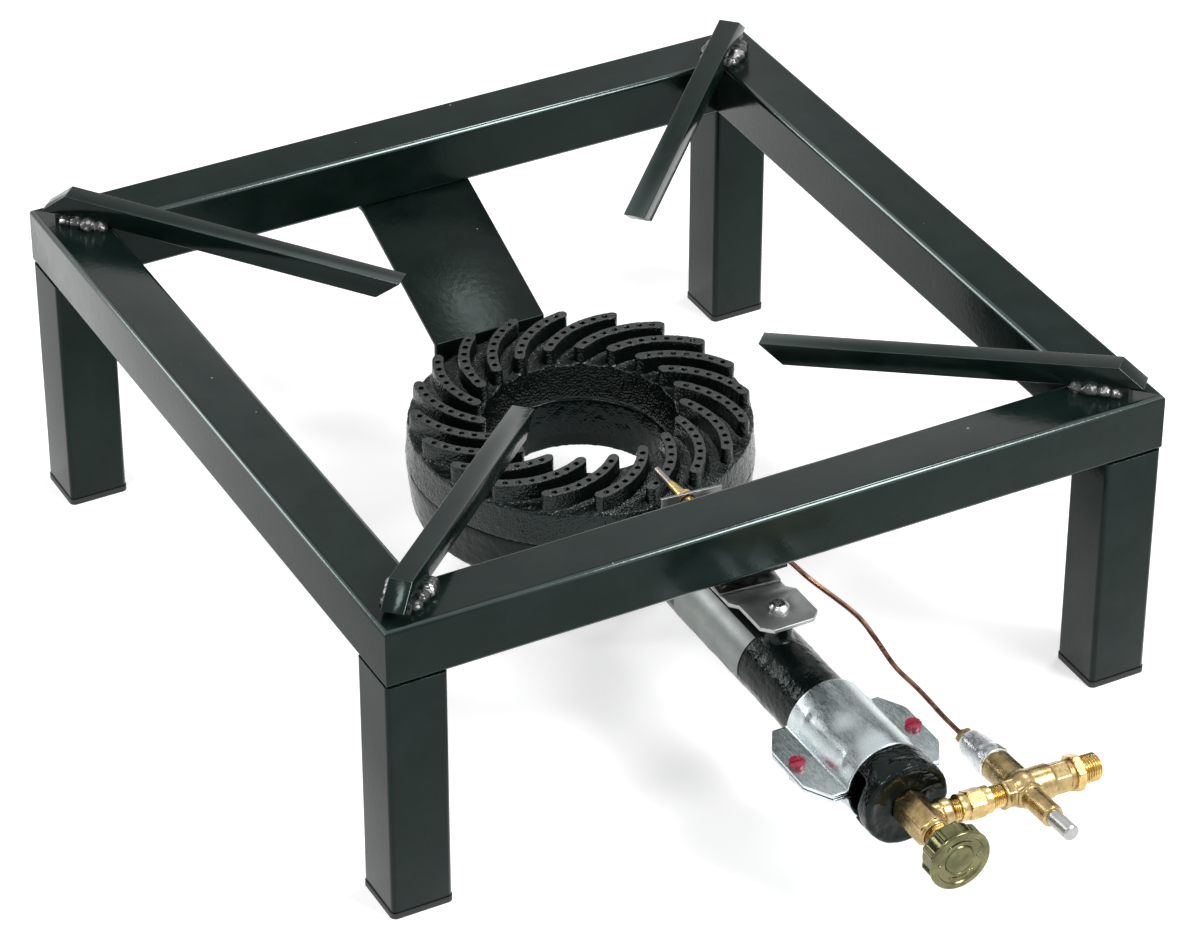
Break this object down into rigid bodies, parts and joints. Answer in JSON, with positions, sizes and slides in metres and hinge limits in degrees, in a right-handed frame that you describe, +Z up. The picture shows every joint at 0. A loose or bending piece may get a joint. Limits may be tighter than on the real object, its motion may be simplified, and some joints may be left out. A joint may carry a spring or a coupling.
{
  "type": "stock pot range",
  "caption": "Low square gas stool cooker: a tube frame with sloping pot bars over a cast ring burner, with mixer pipe, air shutter, needle tap and flame failure valve.",
  "frame": {"origin": "on the floor, under the middle of the outline of the whole object, tap and button included", "axes": "+Z up, -Y toward the tap and handwheel, +X toward the gas inlet"},
  "size_m": [0.4008, 0.5612, 0.1721],
  "materials": {
    "frame_paint": "gloss dark green-black enamel",
    "cap_plastic": "black moulded plastic",
    "cast_burner": "rough casting in gloss black paint",
    "label_foil": "blank matt silver foil",
    "zinc_sheet": "bright zinc-plated sheet",
    "zinc_hardware": "zinc-plated",
    "dark_steel": "blackened steel",
    "polished_steel": "polished steel",
    "brass": "cast and turned brass",
    "olive_brass": "olive passivated",
    "copper": "drawn copper",
    "aluminium": "turned",
    "rubber": "moulded"
  },
  "bodies": {
    "stove": {"rail_front": "frame_paint", "rail_rear": "frame_paint", "rail_left": "frame_paint", "rail_right": "frame_paint", "leg_front_left": "frame_paint", "leg_front_right": "frame_paint", "leg_rear_left": "frame_paint", "leg_rear_right": "frame_paint", "foot_cap_front_left": "cap_plastic", "foot_cap_front_right": "cap_plastic", "foot_cap_rear_left": "cap_plastic", "foot_cap_rear_right": "cap_plastic", "pot_bar_front_left": "frame_paint", "pot_bar_front_right": "frame_paint", "pot_bar_rear_left": "frame_paint", "pot_bar_rear_right": "frame_paint", "pot_bar_welds": "frame_paint", "rear_support_strap": "frame_paint", "rear_strap_bolt": "zinc_hardware", "front_support_tab": "frame_paint", "front_support_spacer": "dark_steel", "front_support_bolt": "zinc_hardware", "front_support_nut": "zinc_hardware", "mounting_plate": "polished_steel", "plate_screw": "zinc_hardware", "burner_crown": "cast_burner", "burner_body": "cast_burner", "rating_label": "label_foil", "gas_jet": "brass", "tap_body": "brass", "tap_gland_nut": "brass", "tap_packing": "rubber", "coupling_nut": "brass", "coupling_olive": "brass", "valve_body": "brass", "inlet_adapter": "brass", "inlet_seal": "copper", "magnet_cap": "zinc_hardware", "magnet_unit": "polished_steel", "disc_spring": "polished_steel", "button_spring": "polished_steel", "thermocouple_nut": "brass", "thermocouple_lead": "copper", "thermocouple_body": "brass", "thermocouple_tip": "polished_steel", "thermocouple_bracket": "polished_steel"},
    "air_shutter": {"air_shutter_upper": "zinc_sheet", "air_shutter_lower": "zinc_sheet", "shutter_screws": "zinc_hardware", "shutter_nuts": "zinc_hardware"},
    "handwheel_and_spindle": {"tap_spindle": "polished_steel", "handwheel": "olive_brass", "handwheel_screw": "polished_steel"},
    "push_button": {"push_button": "aluminium", "button_clip": "polished_steel"},
    "valve_disc": {"valve_disc": "rubber"}
  },
  "joints": [
    {"name": "shutter_slide", "type": "slide", "parent": "stove", "child": "air_shutter", "axis": [0, -1, 0], "range_m": [-0.02, 0]},
    {"name": "handwheel_turn", "type": "hinge", "parent": "stove", "child": "handwheel_and_spindle", "pos_m": [0, -0.26764, 0.0672], "axis": [0, -1, 0], "range_deg": [0, 540]},
    {"name": "button_press", "type": "slide", "parent": "stove", "child": "push_button", "axis": [-0.0026, 0.9973, -0.0732], "range_m": [0, 0.005], "stiffness_N_per_m": 500, "springref_m": -0.004, "deforming": ["button_spring"]},
    {"name": "disc_lift", "type": "slide", "parent": "stove", "child": "valve_disc", "axis": [-0.0026, 0.9973, -0.0732], "range_m": [0, 0.0051], "deforming": ["disc_spring"]}
  ],
  "couplings": [
    {"joint": "disc_lift", "follows": "button_press", "ratio": 1}
  ]
}
